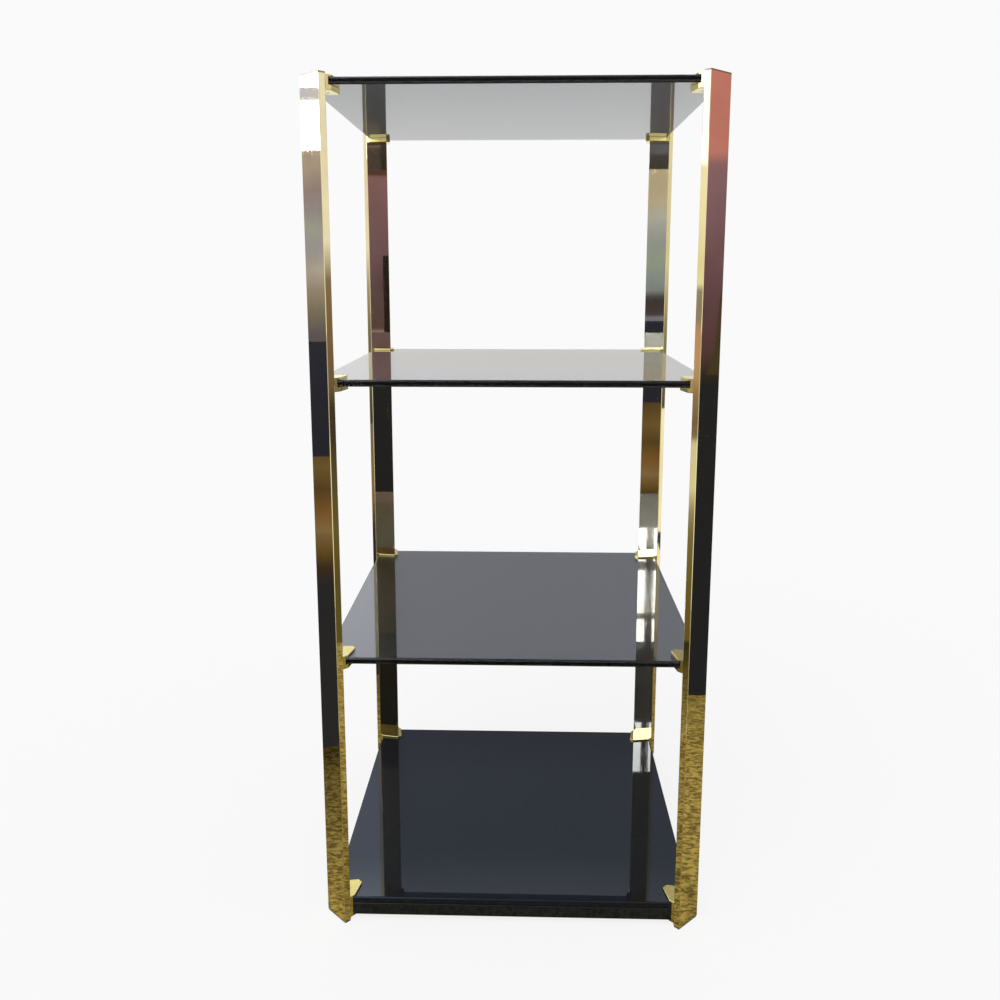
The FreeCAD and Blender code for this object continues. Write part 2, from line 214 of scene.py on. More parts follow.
edgeWear = {
    "Width": 0.002,
    "Patch": 60.0,
    "samples": 4,
    "bend": (0.99, 0.86),  # how alike the soft and the real direction are, from none to all of the wear
    "broken": (0.4, 0.65),
}


def buildRubbedEdge():  # a broken band along the outer edges
    group, start, end = newMaskGroup("rubbedEdge", Width=edgeWear["Width"], Patch=edgeWear["Patch"])
    soft = addNode(group, "ShaderNodeBevel", {"Radius": start["Width"]}, samples=edgeWear["samples"])
    shape = addNode(group, "ShaderNodeNewGeometry")
    alike = addNode(group, "ShaderNodeVectorMath", {
        0: soft.outputs[0], 1: shape.outputs["Normal"]}, operation="DOT_PRODUCT")
    near = fromRange(group, alike.outputs["Value"], edgeWear["bend"])
    patch = addNoise(group, objectPlace(group), start["Patch"], detail=3.0)
    broken = fromRange(group, patch, edgeWear["broken"])
    group.links.new(calculate(group, "MULTIPLY", near, broken), end.inputs["Mask"])
    return group


hairlines = buildHairlines()
handMarks = buildHandMarks()
settledDust = buildSettledDust()
rubbedEdge = buildRubbedEdge()
print("surface effects built")

brassSkin = {  # what all the brass shares
    "lines": {"Fineness": 420.0, "Cut": 0.66},
    "marks": {"Patch": 7.0, "Streak": 110.0},
    "edges": {"Width": 0.0012, "Patch": 90.0},
    "tarnishScale": 11.0,
    "tarnishRough": 0.62,
    "tarnishRange": (-0.55, 0.85),
    "tarnishMost": 0.4,
    "waveStrength": 0.5,
    "lineStrength": 0.15,
    "lineDepth": 0.00002,
}

postBrass = {
    "bright": (0.92, 0.79, 0.43),
    "dull": (0.72, 0.56, 0.28),
    "rubbed": (0.95, 0.86, 0.56),
    "gloss": 0.012,
    "smear": 0.06,
    "scratch": 0.05,
    "wave": 0.00012,  # slow waviness of the rolled and polished sheet
    "waveScale": 9.0,
}

clampBrass = {  # satin blocks, yellower and a little less even
    "bright": (0.90, 0.77, 0.29),
    "dull": (0.66, 0.50, 0.17),
    "rubbed": (0.95, 0.85, 0.46),
    "gloss": 0.20,
    "smear": 0.10,
    "scratch": 0.10,
    "wave": 0.0004,
    "waveScale": 60.0,
}

capBrass = {  # the end caps, a dark brass much darker than the posts
    "bright": (0.30, 0.24, 0.13),
    "dull": (0.16, 0.12, 0.07),
    "rubbed": (0.62, 0.50, 0.28),
    "gloss": 0.16,
    "smear": 0.10,
    "scratch": 0.12,
    "wave": 0.00012,
    "waveScale": 9.0,
}


def makeBrass(name, look):
    material, tree, out = newMaterial(name)
    place = objectPlace(tree)
    lines = useMask(tree, hairlines, brassSkin["lines"])
    marks = useMask(tree, handMarks, brassSkin["marks"])
    edges = useMask(tree, rubbedEdge, brassSkin["edges"])
    tarnish = addNoise(
        tree, place, brassSkin["tarnishScale"], detail=5.0, Roughness=brassSkin["tarnishRough"])
    dull = addNode(tree, "ShaderNodeClamp", {
        "Value": toRange(tree, tarnish, *brassSkin["tarnishRange"]),
        "Min": 0.0, "Max": brassSkin["tarnishMost"]})
    colour = blendColour(tree, dull.outputs[0], look["bright"], look["dull"])
    colour = blendColour(tree, edges, colour, look["rubbed"])
    smear = toRange(tree, marks, look["gloss"], look["gloss"] + look["smear"])
    scratch = toRange(tree, lines, 0.0, look["scratch"])
    wave = addNoise(tree, place, look["waveScale"], detail=1.0)
    waveBump = addBump(tree, wave, brassSkin["waveStrength"], look["wave"])
    lineBump = addBump(tree, lines, brassSkin["lineStrength"], brassSkin["lineDepth"], invert=True)
    tree.links.new(waveBump.outputs[0], lineBump.inputs["Normal"])
    skin = addNode(tree, "ShaderNodeBsdfPrincipled", {
        "Base Color": colour, "Metallic": 1.0, "Roughness": calculate(tree, "ADD", smear, scratch),
        "Normal": lineBump.outputs[0]})
    tree.links.new(skin.outputs[0], out.inputs["Surface"])
    return material


smokedGlass = {
    "index": 1.5,
    "lines": {"Fineness": 380.0, "Cut": 0.7},
    "marks": {"Patch": 6.0, "Streak": 70.0},
    "dust": {"Speck": 520.0, "Spread": 4.0},
    "smear": 0.05,
    "scratch": 0.05,
    "dusty": 0.12,
    "lineStrength": 0.1,
    "lineDepth": 0.00002,
    "film": 0.42,  # thin film of dust and polish that shows when looking along the sheet
    "filmGloss": 0.42,
    "tint": (0.09, 0.125, 0.17),
    "depth": 150.0,  # how fast it darkens, per metre
}


def makeSmokedGlass():
    material, tree, out = newMaterial("smokedGlass")
    marks = useMask(tree, handMarks, smokedGlass["marks"])
    lines = useMask(tree, hairlines, smokedGlass["lines"])
    specks = useMask(tree, settledDust, smokedGlass["dust"])
    smear = toRange(tree, marks, 0.0, smokedGlass["smear"])
    scratch = toRange(tree, lines, 0.0, smokedGlass["scratch"])
    dusty = toRange(tree, specks, 0.0, smokedGlass["dusty"])
    rough = calculate(tree, "ADD", calculate(tree, "ADD", smear, scratch), dusty)
    bump = addBump(tree, lines, smokedGlass["lineStrength"], smokedGlass["lineDepth"], invert=True)
    skin = addNode(tree, "ShaderNodeBsdfPrincipled", {
        "Base Color": (1.0, 1.0, 1.0, 1.0), "Roughness": rough, "IOR": smokedGlass["index"],
        "Transmission Weight": 1.0, "Coat Weight": smokedGlass["film"],
        "Coat Roughness": smokedGlass["filmGloss"], "Normal": bump.outputs[0]})
    smoke = addNode(tree, "ShaderNodeVolumeAbsorption", {
        "Color": (*smokedGlass["tint"], 1.0), "Density": smokedGlass["depth"]})
    tree.links.new(skin.outputs[0], out.inputs["Surface"])
    tree.links.new(smoke.outputs[0], out.inputs["Volume"])
    return material


blackSheet = {
    "index": 1.52,
    "lines": {"Fineness": 380.0, "Cut": 0.68},
    "marks": {"Patch": 5.0, "Streak": 60.0},
    "dust": {"Speck": 600.0, "Spread": 4.0},
    "body": (0.004, 0.005, 0.009),
    "dustColour": (0.20, 0.21, 0.24),
    "dustMost": 0.12,
    # painted reflection: a blue tint laid on the glass's reflections, standing in for the blue light of the
    # room above
    "paintedReflectionTint": (0.52, 0.70, 0.94),
    "gloss": 0.015,
    "smeared": 0.08,
    "scratch": 0.08,
    "lineStrength": 0.1,
    "lineDepth": 0.00002,
    "film": 0.25,
    "filmGloss": 0.42,
}


def makeBlackGlass():
    material, tree, out = newMaterial("blackGlass")
    marks = useMask(tree, handMarks, blackSheet["marks"])
    lines = useMask(tree, hairlines, blackSheet["lines"])
    specks = useMask(tree, settledDust, blackSheet["dust"])
    dusty = toRange(tree, specks, 0.0, blackSheet["dustMost"])
    colour = blendColour(tree, dusty, blackSheet["body"], blackSheet["dustColour"])
    smear = toRange(tree, marks, blackSheet["gloss"], blackSheet["smeared"])
    scratch = toRange(tree, lines, 0.0, blackSheet["scratch"])
    bump = addBump(tree, lines, blackSheet["lineStrength"], blackSheet["lineDepth"], invert=True)
    skin = addNode(tree, "ShaderNodeBsdfPrincipled", {
        "Base Color": colour, "Roughness": calculate(tree, "ADD", smear, scratch),
        "IOR": blackSheet["index"], "Specular Tint": (*blackSheet["paintedReflectionTint"], 1.0),
        "Coat Weight": blackSheet["film"], "Coat Roughness": blackSheet["filmGloss"],
        "Normal": bump.outputs[0]})
    tree.links.new(skin.outputs[0], out.inputs["Surface"])
    return material


lacquer = {
    "marks": {"Patch": 8.0, "Streak": 90.0},
    "edges": {"Width": 0.003, "Patch": 45.0},
    "body": (0.010, 0.010, 0.012),
    "rubbed": (0.055, 0.040, 0.030),
    "gloss": 0.10,
    "smear": 0.14,
    # painted reflection: a blue tint laid on the lacquer's reflections, so the warm floor reflects dark and
    # neutral
    "paintedReflectionTint": (0.50, 0.70, 1.0),
    "coat": 0.3,
    "coatGloss": 0.04,
    "peelScale": 260.0,  # the faint orange peel of a sprayed coat
    "peelStrength": 0.25,
    "peelDepth": 0.00008,
}


def makeBlackLacquer():
    material, tree, out = newMaterial("blackLacquer")
    place = objectPlace(tree)
    edges = useMask(tree, rubbedEdge, lacquer["edges"])
    marks = useMask(tree, handMarks, lacquer["marks"])
    colour = blendColour(tree, edges, lacquer["body"], lacquer["rubbed"])
    rough = toRange(tree, marks, lacquer["gloss"], lacquer["gloss"] + lacquer["smear"])
    peel = addNoise(tree, place, lacquer["peelScale"], detail=1.0)
    bump = addBump(tree, peel, lacquer["peelStrength"], lacquer["peelDepth"])
    skin = addNode(tree, "ShaderNodeBsdfPrincipled", {
        "Base Color": colour, "Roughness": rough, "Specular Tint": (*lacquer["paintedReflectionTint"], 1.0),
        "Coat Weight": lacquer["coat"], "Coat Roughness": lacquer["coatGloss"],
        "Normal": bump.outputs[0]})
    tree.links.new(skin.outputs[0], out.inputs["Surface"])
    return material


steelSkin = {  # what the screws and plates share
    "lines": {"Fineness": 900.0, "Cut": 0.55},
    "edges": {"Width": 0.0005, "Patch": 200.0},
    "edgeMost": 0.5,
    "edgeLift": 1.4,
    "uneven": 0.12,
    "scratch": 0.12,
    "lineStrength": 0.3,
    "lineDepth": 0.00003,
}

zincSteel = {"light": (0.66, 0.67, 0.70), "dark": (0.42, 0.43, 0.47), "gloss": 0.26, "grainScale": 90.0}
darkSteel = {"light": (0.16, 0.16, 0.17), "dark": (0.07, 0.07, 0.08), "gloss": 0.34, "grainScale": 150.0}


def makeSteel(name, look):
    material, tree, out = newMaterial(name)
    place = objectPlace(tree)
    lines = useMask(tree, hairlines, steelSkin["lines"])
    edges = useMask(tree, rubbedEdge, steelSkin["edges"])
    grain = addNoise(tree, place, look["grainScale"], detail=4.0)
    rubbed = tuple(min(1.0, part * steelSkin["edgeLift"]) for part in look["light"])
    colour = blendColour(tree, grain, look["light"], look["dark"])
    colour = blendColour(tree, toRange(tree, edges, 0.0, steelSkin["edgeMost"]), colour, rubbed)
    uneven = toRange(tree, grain, look["gloss"], look["gloss"] + steelSkin["uneven"])
    scratch = toRange(tree, lines, 0.0, steelSkin["scratch"])
    bump = addBump(tree, lines, steelSkin["lineStrength"], steelSkin["lineDepth"])
    skin = addNode(tree, "ShaderNodeBsdfPrincipled", {
        "Base Color": colour, "Metallic": 1.0, "Roughness": calculate(tree, "ADD", uneven, scratch),
        "Normal": bump.outputs[0]})
    tree.links.new(skin.outputs[0], out.inputs["Surface"])
    return material


plasticSkin = {  # what the foot plugs and pads share
    "edges": {"Width": 0.0008, "Patch": 120.0},
    "edgeMost": 0.4,
    "edgeLift": 2.2,
    "edgePale": 0.01,
    "smoother": 0.08,
    "rougher": 0.1,
    "grainStrength": 0.5,
}

blackPlastic = {
    "light": (0.022, 0.022, 0.023),
    "dark": (0.012, 0.012, 0.013),
    "gloss": 0.5,
    "grainScale": 1400.0,
    "grainDepth": 0.00005,
}

softPad = {
    "light": (0.035, 0.034, 0.033),
    "dark": (0.018, 0.018, 0.018),
    "gloss": 0.78,
    "grainScale": 2200.0,
    "grainDepth": 0.00008,
}


def makeMouldedPlastic(name, look):
    material, tree, out = newMaterial(name)
    place = objectPlace(tree)
    edges = useMask(tree, rubbedEdge, plasticSkin["edges"])
    grain = addNoise(tree, place, look["grainScale"], detail=3.0)
    rubbed = tuple(part * plasticSkin["edgeLift"] + plasticSkin["edgePale"] for part in look["light"])
    colour = blendColour(tree, grain, look["light"], look["dark"])
    colour = blendColour(tree, toRange(tree, edges, 0.0, plasticSkin["edgeMost"]), colour, rubbed)
    smooth, coarse = look["gloss"] - plasticSkin["smoother"], look["gloss"] + plasticSkin["rougher"]
    bump = addBump(tree, grain, plasticSkin["grainStrength"], look["grainDepth"])
    skin = addNode(tree, "ShaderNodeBsdfPrincipled", {
        "Base Color": colour, "Roughness": toRange(tree, grain, smooth, coarse),
        "Normal": bump.outputs[0]})
    tree.links.new(skin.outputs[0], out.inputs["Surface"])
    return material


finishes = {
    "polished_brass": makeBrass("polishedBrass", postBrass),
    "cast_brass": makeBrass("castBrass", clampBrass),
    "dark_brass": makeBrass("darkBrass", capBrass),
    "smoked_glass": makeSmokedGlass(),
    "black_glass": makeBlackGlass(),
    "black_lacquer": makeBlackLacquer(),
    "zinc_steel": makeSteel("zincSteel", zincSteel),
    "dark_steel": makeSteel("darkSteel", darkSteel),
    "black_plastic": makeMouldedPlastic("blackPlastic", blackPlastic),
    "soft_pad": makeMouldedPlastic("softPad", softPad),
}
print("finishes made:", len(finishes))

# the first line that a node's name starts with gives its finish
finishByPart = (
    ("post_foot_", "black_plastic"),
    ("post_cap_", "dark_brass"),
    ("post_", "polished_brass"),
    ("clamp_screws_", "zinc_steel"),
    ("clamp_", "cast_brass"),
    ("glass_shelf_", "smoked_glass"),
    ("bottom_glass", "black_glass"),
    ("bottom_board", "black_lacquer"),
    ("backing_plates_", "zinc_steel"),
    ("jaw_pads_", "soft_pad"),
    ("pressure_discs_", "soft_pad"),
    ("grub_screws_", "dark_steel"),
)


def dressNodes():
    for name, part in nodes.items():
        finish = next(value for start, value in finishByPart if name.startswith(start))
        if not part.material_slots:
            part.data.materials.append(finishes[finish])
        for slot in part.material_slots:
            slot.material = finishes[finish]


dressNodes()
print("finishes placed")

surround = {
    "white": 0.956,  # what the camera sees behind and below
    "fill": 0.75,
    "floorColour": 0.12,
    "floorShine": 1.06,  # how much lighter the floor looks in reflections
    "floorHalf": 60.0,
    "keyLevel": 0.25,
    "keyTilt": 38.0,
    "keyTurn": -30.0,
    "keySpread": 50.0,
    "leftEdge": (-0.150, -0.168),  # X over Y of the ray, where the light of the left side comes in
    # reflected light by height of the ray: first number is (sine + 1) / 2
    "glow": (
        (0.000, (1.00, 1.00, 1.00)),
        (0.530, (0.90, 0.89, 0.86)),
        (0.543, (0.91, 0.89, 0.85)),
        (0.553, (1.00, 1.00, 1.00)),
        (0.600, (0.90, 0.90, 0.92)),
        (0.640, (0.29, 0.29, 0.32)),
        (0.690, (0.33, 0.33, 0.37)),
        (0.705, (0.30, 0.31, 0.35)),
        (0.727, (0.19, 0.20, 0.23)),
        (0.745, (0.28, 0.30, 0.35)),
        (0.775, (0.36, 0.38, 0.42)),
        (0.790, (0.72, 0.72, 0.72)),
        (0.850, (0.82, 0.82, 0.80)),
        (1.000, (0.62, 0.65, 0.72)),
    ),
    # the same, towards the left side
    "glowLeft": (
        (0.000, (1.00, 1.00, 1.00)),
        (0.530, (0.90, 0.89, 0.86)),
        (0.545, (1.07, 1.06, 1.04)),
        (0.600, (1.60, 1.60, 1.62)),
        (0.640, (1.15, 1.17, 1.28)),
        (0.690, (1.33, 1.35, 1.48)),
        (0.705, (1.15, 1.18, 1.30)),
        (0.727, (0.47, 0.49, 0.56)),
        (0.745, (0.67, 0.71, 0.83)),
        (0.775, (0.84, 0.88, 0.98)),
        (0.790, (1.76, 1.76, 1.76)),
        (1.000, (1.50, 1.55, 1.70)),
    ),
}


def seenPlainly(tree, path):  # 1 where the camera sees it, also through glass
    return calculate(tree, "MAXIMUM", path.outputs["Is Camera Ray"], path.outputs["Is Transmission Ray"])


def makeWorld():
    world = bpy.data.worlds.new("studio")
    scene.world = world
    world.use_nodes = True
    tree = world.node_tree
    tree.nodes.clear()
    out = addNode(tree, "ShaderNodeOutputWorld")
    path = addNode(tree, "ShaderNodeLightPath")
    ray = splitVector(tree, addNode(tree, "ShaderNodeTexCoord").outputs["Generated"])
    height = fromRange(tree, ray["Z"], (-1.0, 1.0))
    middle = colourRamp(tree, height, surround["glow"])
    side = calculate(tree, "DIVIDE", ray["X"], calculate(tree, "ABSOLUTE", ray["Y"]))
    left = fromRange(tree, side, surround["leftEdge"])
    shine = blendColour(tree, left, middle, colourRamp(tree, height, surround["glowLeft"]))
    white = (1.0, 1.0, 1.0, 1.0)
    fill = addNode(tree, "ShaderNodeBackground", {0: white, 1: surround["fill"]})
    glow = addNode(tree, "ShaderNodeBackground", {0: shine})
    plain = addNode(tree, "ShaderNodeBackground", {0: white, 1: surround["white"]})
    first = addNode(tree, "ShaderNodeMixShader", {
        0: path.outputs["Is Glossy Ray"], 1: fill.outputs[0], 2: glow.outputs[0]})
    last = addNode(tree, "ShaderNodeMixShader", {
        0: seenPlainly(tree, path), 1: first.outputs[0], 2: plain.outputs[0]})
    tree.links.new(last.outputs[0], out.inputs["Surface"])


def makePlane(name, corners, material, seenByAll=False):
    mesh = bpy.data.meshes.new(name)
    mesh.from_pydata(corners, [], [tuple(range(len(corners)))])
    mesh.materials.append(material)
    piece = bpy.data.objects.new(name, mesh)
    scene.collection.objects.link(piece)
    if not seenByAll:  # only reflections see it
        piece.visible_camera = False
        piece.visible_diffuse = False
        piece.visible_transmission = False
        piece.visible_volume_scatter = False
        piece.visible_shadow = False


def makeFloor():
    material, tree, out = newMaterial("paleFloor")
    path = addNode(tree, "ShaderNodeLightPath")
    shine = calculate(tree, "MULTIPLY", path.outputs["Is Glossy Ray"], surround["floorShine"])
    seen = calculate(tree, "MAXIMUM", seenPlainly(tree, path), shine)
    colour = surround["floorColour"]
    lift = surround["white"] - colour * (surround["fill"] + surround["keyLevel"])
    matt = addNode(tree, "ShaderNodeBsdfDiffuse", {0: (colour, colour, colour, 1.0)})
    glow = addNode(tree, "ShaderNodeEmission", {0: (lift, lift, lift, 1.0), 1: seen})
    both = addNode(tree, "ShaderNodeAddShader", {0: matt.outputs[0], 1: glow.outputs[0]})
    tree.links.new(both.outputs[0], out.inputs["Surface"])
    half = surround["floorHalf"]
    corners = [(-half, -half, 0), (half, -half, 0), (half, half, 0), (-half, half, 0)]
    makePlane("floor", corners, material, seenByAll=True)


def makeKey():
    tilt = math.radians(surround["keyTilt"])
    lamp = bpy.data.lights.new("softKey", "SUN")
    lamp.energy = surround["keyLevel"] * math.pi / math.cos(tilt)
    lamp.angle = math.radians(surround["keySpread"])
    key = bpy.data.objects.new("softKey", lamp)
    key.rotation_euler = (tilt, 0.0, math.radians(surround["keyTurn"]))
    key.visible_glossy = False
    scene.collection.objects.link(key)


makeWorld()
makeFloor()
makeKey()
print("surround made")

# what only the polished faces see: a rug under the piece, a dark floor, and a room far to the sides
rug = {
    "corners": ((-1.32, -1.15), (0.80, -1.15), (1.385, -0.25), (1.395, 0.45), (-0.84, 0.45)),
    "height": 0.002,
    "pile": (0.165, 0.130, 0.055),
    "tips": (0.520, 0.440, 0.185),
    "tuft": 125.0,
    "stretch": (1.0, 0.55, 1.0),
    "twist": 0.5,
    "sharp": (0.38, 0.62),
    # how light the rug is along X
    "fade": (
        (-1.20, 0.08), (-1.00, 0.16), (-0.86, 0.36), (-0.70, 0.52), (-0.45, 0.90), (1.00, 1.0),
        (1.44, 0.62)),
}


def rampAlong(tree, value, stops):  # colours by distance along one axis
    low, high = stops[0][0], stops[-1][0]
    along = fromRange(tree, value, (low, high))
    return colourRamp(tree, along, [((place - low) / (high - low), colour) for place, colour in stops])


def makeRug():
    material, tree, out = newMaterial("rug")
    place = objectPlace(tree)
    lay = addNode(tree, "ShaderNodeMapping", {"Vector": place, "Scale": rug["stretch"]})
    tuft = addNoise(tree, lay.outputs[0], rug["tuft"], detail=2.0, Distortion=rug["twist"])
    colour = blendColour(tree, fromRange(tree, tuft, rug["sharp"]), rug["pile"], rug["tips"])
    fade = [(x, (level, level, level)) for x, level in rug["fade"]]
    light = rampAlong(tree, splitVector(tree, place)["X"], fade)
    matt = addNode(tree, "ShaderNodeBsdfDiffuse", {
        0: blendColour(tree, light, (0.0, 0.0, 0.0), colour)})
    tree.links.new(matt.outputs[0], out.inputs["Surface"])
    makePlane("rug", [(x, y, rug["height"]) for x, y in rug["corners"]], material)


def makeGlow(name, axis, stops):  # a light patch whose colour changes along one axis
    material, tree, out = newMaterial(name)
    along = splitVector(tree, objectPlace(tree))[axis]
    glow = addNode(tree, "ShaderNodeEmission", {0: rampAlong(tree, along, stops)})
    tree.links.new(glow.outputs[0], out.inputs["Surface"])
    return material


# floor patches: corners in plan, and colours by distance along X
patchHeight = 0.001
floors = {
    "leftFloor": {"corners": ((-6.0, -1.05), (-0.7, -0.42), (-0.7, 0.44), (-6.0, 1.70)), "stops": (
        (-6.00, (0.200, 0.180, 0.160)), (-3.30, (0.220, 0.165, 0.120)), (-2.90, (0.124, 0.087, 0.035)),
        (-2.62, (0.048, 0.032, 0.025)), (-2.40, (0.023, 0.026, 0.045)), (-0.70, (0.023, 0.025, 0.041)))},
    "rightFloor": {"corners": ((1.2, -0.42), (7.0, -1.30), (7.0, 1.10), (1.2, 0.43)), "stops": (
        (1.20, (0.018, 0.020, 0.035)), (3.00, (0.018, 0.020, 0.035)), (7.00, (0.020, 0.022, 0.037)))},
    "leftFrontFloor": {"corners": ((-6.0, -2.00), (-0.9, -1.00), (-0.9, -0.42), (-6.0, -1.05)), "stops": (
        (-6.00, (0.220, 0.170, 0.140)), (-5.40, (0.200, 0.150, 0.120)), (-5.15, (0.680, 0.690, 0.620)),
        (-3.60, (0.740, 0.740, 0.620)), (-3.00, (0.330, 0.310, 0.230)), (-2.60, (0.210, 0.185, 0.100)),
        (-1.54, (0.140, 0.110, 0.035)), (-0.90, (0.140, 0.110, 0.035)))},
    "rightFrontFloor": {"corners": ((0.6, -1.05), (7.0, -2.60), (7.0, -1.30), (0.6, -0.42)), "stops": (
        (0.60, (0.110, 0.095, 0.035)), (1.80, (0.110, 0.095, 0.040)), (2.60, (0.135, 0.115, 0.050)),
        (3.90, (0.090, 0.080, 0.055)), (5.20, (0.055, 0.047, 0.045)), (7.00, (0.060, 0.050, 0.045)))},
    "backFloor": {"corners": ((-2.6, 0.72), (-0.6, 0.46), (2.6, 0.62), (2.6, 2.00), (-2.6, 2.00)), "stops": (
        (-2.60, (0.030, 0.030, 0.036)), (0.00, (0.020, 0.020, 0.026)), (2.60, (0.030, 0.030, 0.036)))},
}


def makeFloorPatch(name):
    facts = floors[name]
    corners = [(x, y, patchHeight) for x, y in facts["corners"]]
    makePlane(name, corners, makeGlow(name, "X", facts["stops"]))


# upright patches: colours by height
walls = {
    "leftTable": {"x": -1.75, "y": (-0.38, 0.34), "stops": (
        (0.664, (0.021, 0.025, 0.059)), (0.830, (0.022, 0.026, 0.062)), (1.045, (0.027, 0.032, 0.071)))},
    "leftLow": {"x": -3.2, "y": (-0.60, 0.60), "stops": (
        (0.00, (0.223, 0.165, 0.123)), (0.10, (0.190, 0.110, 0.050)), (0.22, (0.094, 0.065, 0.032)),
        (0.33, (0.150, 0.107, 0.056)), (0.42, (0.110, 0.075, 0.040)), (0.60, (0.060, 0.045, 0.030)))},
    "leftPicture": {"x": -5.95, "y": (-0.80, -0.35), "stops": (
        (0.800, (0.180, 0.210, 0.430)), (0.870, (0.190, 0.220, 0.440)), (0.893, (0.070, 0.060, 0.100)),
        (1.020, (0.050, 0.050, 0.090)), (1.055, (0.090, 0.090, 0.130)), (1.110, (0.230, 0.300, 0.480)),
        (1.200, (0.245, 0.330, 0.540)), (1.377, (0.290, 0.375, 0.490)), (1.554, (0.310, 0.385, 0.620)),
        (1.729, (0.430, 0.490, 0.720)), (1.900, (0.500, 0.480, 0.530)), (2.165, (0.480, 0.450, 0.480)))},
    "leftFar": {"x": -6.0, "y": (-1.05, 1.02), "stops": (
        (0.00, (0.030, 0.030, 0.050)), (0.80, (0.120, 0.115, 0.190)), (0.99, (0.223, 0.209, 0.238)),
        (1.14, (0.327, 0.302, 0.370)), (1.28, (0.443, 0.451, 0.620)), (1.45, (0.350, 0.380, 0.640)),
        (1.60, (0.350, 0.400, 0.560)), (1.74, (0.300, 0.300, 0.500)), (1.87, (0.310, 0.270, 0.400)),
        (2.04, (0.420, 0.380, 0.480)), (2.165, (0.450, 0.410, 0.500)))},
    "leftFront": {"x": -6.0, "y": (-2.20, -1.05), "stops": (
        (0.00, (0.180, 0.120, 0.100)), (0.25, (0.300, 0.210, 0.160)), (0.42, (0.480, 0.330, 0.260)),
        (0.60, (0.560, 0.340, 0.280)), (0.80, (0.520, 0.330, 0.280)), (0.88, (0.300, 0.270, 0.290)),
        (1.12, (0.320, 0.300, 0.320)), (1.18, (0.850, 0.890, 0.740)), (1.60, (0.920, 0.920, 0.860)),
        (2.10, (0.960, 0.960, 0.940)), (2.16, (1.600, 1.700, 2.400)), (3.60, (1.600, 1.700, 2.400)))},
    "leftBack": {"x": -6.0, "y": (1.02, 2.20), "stops": (
        (0.00, (0.060, 0.055, 0.050)), (0.80, (0.200, 0.190, 0.180)), (1.15, (0.400, 0.390, 0.400)),
        (1.45, (0.860, 0.870, 0.960)), (3.60, (0.900, 0.920, 1.080)))},
    "rightFar": {"x": 7.0, "y": (-1.30, 0.25), "stops": (
        (0.00, (0.018, 0.021, 0.036)), (0.30, (0.019, 0.022, 0.037)), (0.42, (0.042, 0.032, 0.032)),
        (0.52, (0.150, 0.125, 0.120)), (0.62, (0.170, 0.150, 0.140)), (0.64, (0.300, 0.270, 0.400)),
        (0.68, (0.280, 0.240, 0.340)), (0.70, (0.100, 0.070, 0.100)), (1.12, (0.110, 0.075, 0.130)),
        (1.45, (0.165, 0.105, 0.187)), (2.19, (0.235, 0.140, 0.230)), (2.21, (0.100, 0.058, 0.060)),
        (2.40, (0.060, 0.050, 0.045)), (3.00, (0.022, 0.022, 0.024)), (5.40, (0.022, 0.022, 0.024)))},
    "rightPanel": {"x": 6.95, "y": (-1.05, -0.865), "stops": (
        (0.45, (0.120, 0.100, 0.110)), (0.80, (0.190, 0.150, 0.180)), (1.40, (0.230, 0.170, 0.240)))},
    "rightDoor": {"x": 7.0, "y": (0.25, 1.10), "stops": (
        (0.00, (0.018, 0.021, 0.036)), (0.30, (0.019, 0.022, 0.037)), (0.42, (0.042, 0.032, 0.032)),
        (0.60, (0.092, 0.052, 0.080)), (1.12, (0.133, 0.073, 0.138)), (1.45, (0.179, 0.107, 0.187)),
        (1.95, (0.231, 0.142, 0.270)), (2.16, (0.272, 0.155, 0.284)), (2.26, (0.540, 0.225, 0.296)),
        (3.60, (0.560, 0.235, 0.300)), (5.40, (0.300, 0.130, 0.160)))},
    "rightFront": {"x": 7.0, "y": (-2.60, -1.30), "stops": (
        (0.00, (0.060, 0.050, 0.045)), (0.20, (0.170, 0.120, 0.100)), (0.80, (0.210, 0.145, 0.120)),
        (1.20, (0.240, 0.190, 0.170)), (1.36, (0.500, 0.500, 0.560)), (1.56, (0.880, 0.900, 1.020)),
        (5.40, (0.900, 0.920, 1.120)))},
    "rightBack": {"x": 7.0, "y": (1.10, 2.20), "stops": (
        (0.00, (0.100, 0.090, 0.070)), (0.80, (0.300, 0.280, 0.240)), (1.30, (0.700, 0.700, 0.640)),
        (3.60, (0.900, 0.900, 0.960)))},
}


def sideCorners(x, y, z):  # an upright rectangle at X, from and to Y and Z
    return [(x, y[0], z[0]), (x, y[1], z[0]), (x, y[1], z[1]), (x, y[0], z[1])]


def makeWall(name):
    facts = walls[name]
    stops = facts["stops"]
    corners = sideCorners(facts["x"], facts["y"], (stops[0][0], stops[-1][0]))
    makePlane(name, corners, makeGlow(name, "Z", stops))


window = {
    "x": -6.0,
    "y": (-1.05, 1.02),
    "z": (2.165, 4.15),
    "light": (8.00, 9.20, 15.0),
    # two bars, the dimmer upper pane, the rail under it and the post between the panes:
    # axis, middle, half width and colour, each laid over the ones before
    "frame": (
        ("Z", 2.56, 0.048, (0.60, 0.64, 1.10)),
        ("Z", 3.06, 0.030, (0.60, 0.64, 1.10)),
        ("Z", 3.92, 0.230, (2.20, 2.40, 3.60)),
        ("Z", 3.74, 0.055, (0.20, 0.17, 0.28)),
        ("Y", -0.524, 0.036, (0.13, 0.10, 0.16)),
    ),
}


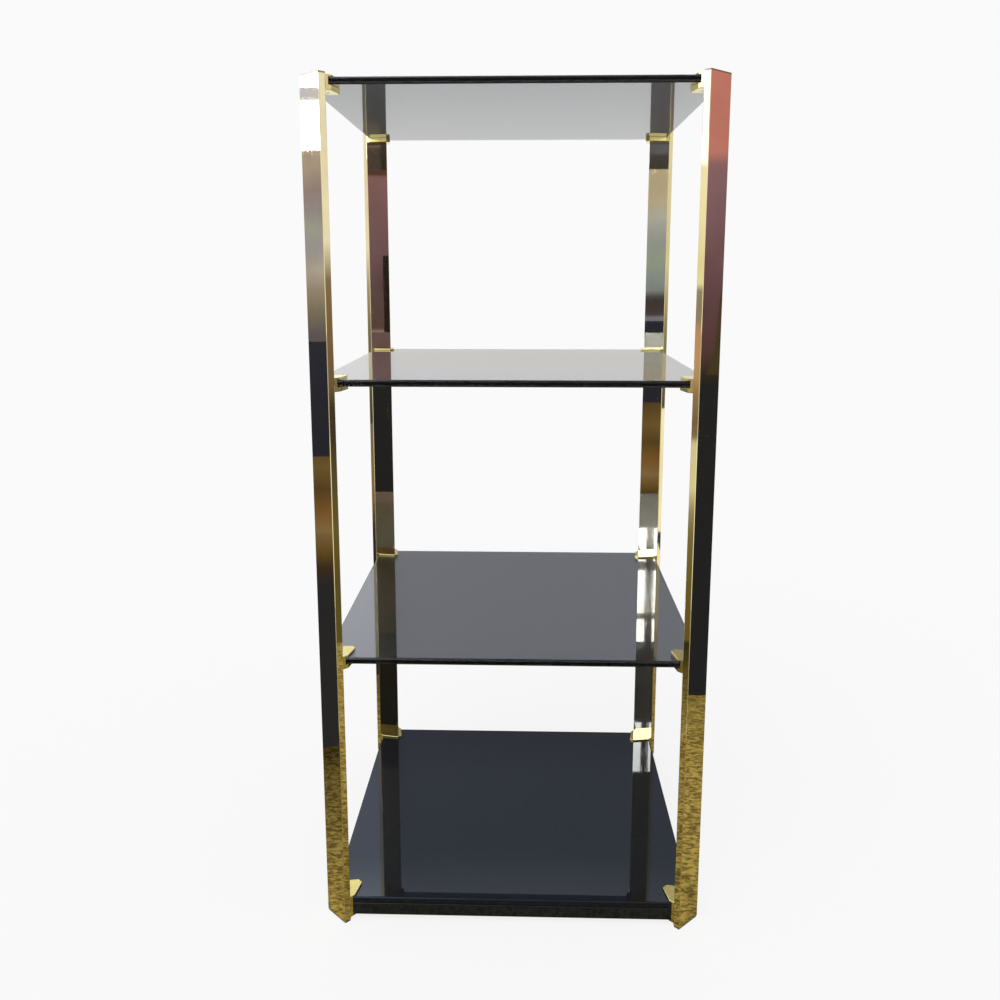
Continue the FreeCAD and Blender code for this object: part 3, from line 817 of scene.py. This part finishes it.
def makeWindow():
    material, tree, out = newMaterial("window")
    split = splitVector(tree, objectPlace(tree))
    colour = window["light"]
    for axis, middle, half, paint in window["frame"]:
        off = calculate(tree, "ABSOLUTE", calculate(tree, "SUBTRACT", split[axis], middle))
        colour = blendColour(tree, calculate(tree, "LESS_THAN", off, half), colour, paint)
    glow = addNode(tree, "ShaderNodeEmission", {0: colour})
    tree.links.new(glow.outputs[0], out.inputs["Surface"])
    makePlane("window", sideCorners(window["x"], window["y"], window["z"]), material)


# painted dark reflections: faintly glowing dark sheets in front of, behind and beside the piece, seen only
# in reflections
darkCards = {
    "lowBack": {
        "corners": ((-2.2, 2.0, 0.0), (2.2, 2.0, 0.0), (2.2, 2.0, 0.80), (-2.2, 2.0, 0.80)),
        "colour": (0.020, 0.018, 0.018)},
    "highBack": {
        "corners": ((-1.8, 2.0, 1.92), (1.8, 2.0, 1.92), (1.8, 2.0, 2.30), (-1.8, 2.0, 2.30)),
        "colour": (0.030, 0.024, 0.018)},
    "frontLow": {
        "corners": ((-0.52, -1.25, 0.0), (0.52, -1.25, 0.0), (0.52, -1.25, 0.34), (-0.52, -1.25, 0.34)),
        "colour": (0.012, 0.012, 0.015)},
    "frontMiddle": {
        "corners": ((-0.52, -1.25, 0.82), (0.52, -1.25, 0.82), (0.52, -1.25, 1.1), (-0.52, -1.25, 1.1)),
        "colour": (0.012, 0.012, 0.015)},
    "frontHigh": {
        "corners": ((-0.52, -1.25, 1.62), (0.52, -1.25, 1.62), (0.52, -1.25, 1.9), (-0.52, -1.25, 1.9)),
        "colour": (0.012, 0.012, 0.015)},
    "rightStrip": {
        "corners": ((6.9, -0.72, 0.40), (6.9, -0.655, 0.40), (6.9, -0.655, 1.43), (6.9, -0.72, 1.43)),
        "colour": (0.018, 0.016, 0.020)},
    "rightDrape": {
        "corners": (
            (6.9, 0.875, 0.40), (6.9, 1.10, 0.40), (6.9, 1.10, 1.30), (6.9, 0.99, 1.22),
            (6.9, 0.965, 1.02), (6.9, 0.94, 0.64)),
        "colour": (0.062, 0.050, 0.036)},
}


def makeDarkCard(name):
    material, tree, out = newMaterial(name)
    glow = addNode(tree, "ShaderNodeEmission", {0: (*darkCards[name]["colour"], 1.0)})
    tree.links.new(glow.outputs[0], out.inputs["Surface"])
    makePlane(name, darkCards[name]["corners"], material)


makeRug()
for name in floors:
    makeFloorPatch(name)
for name in walls:
    makeWall(name)
makeWindow()
for name in darkCards:
    makeDarkCard(name)
print("reflected room made")
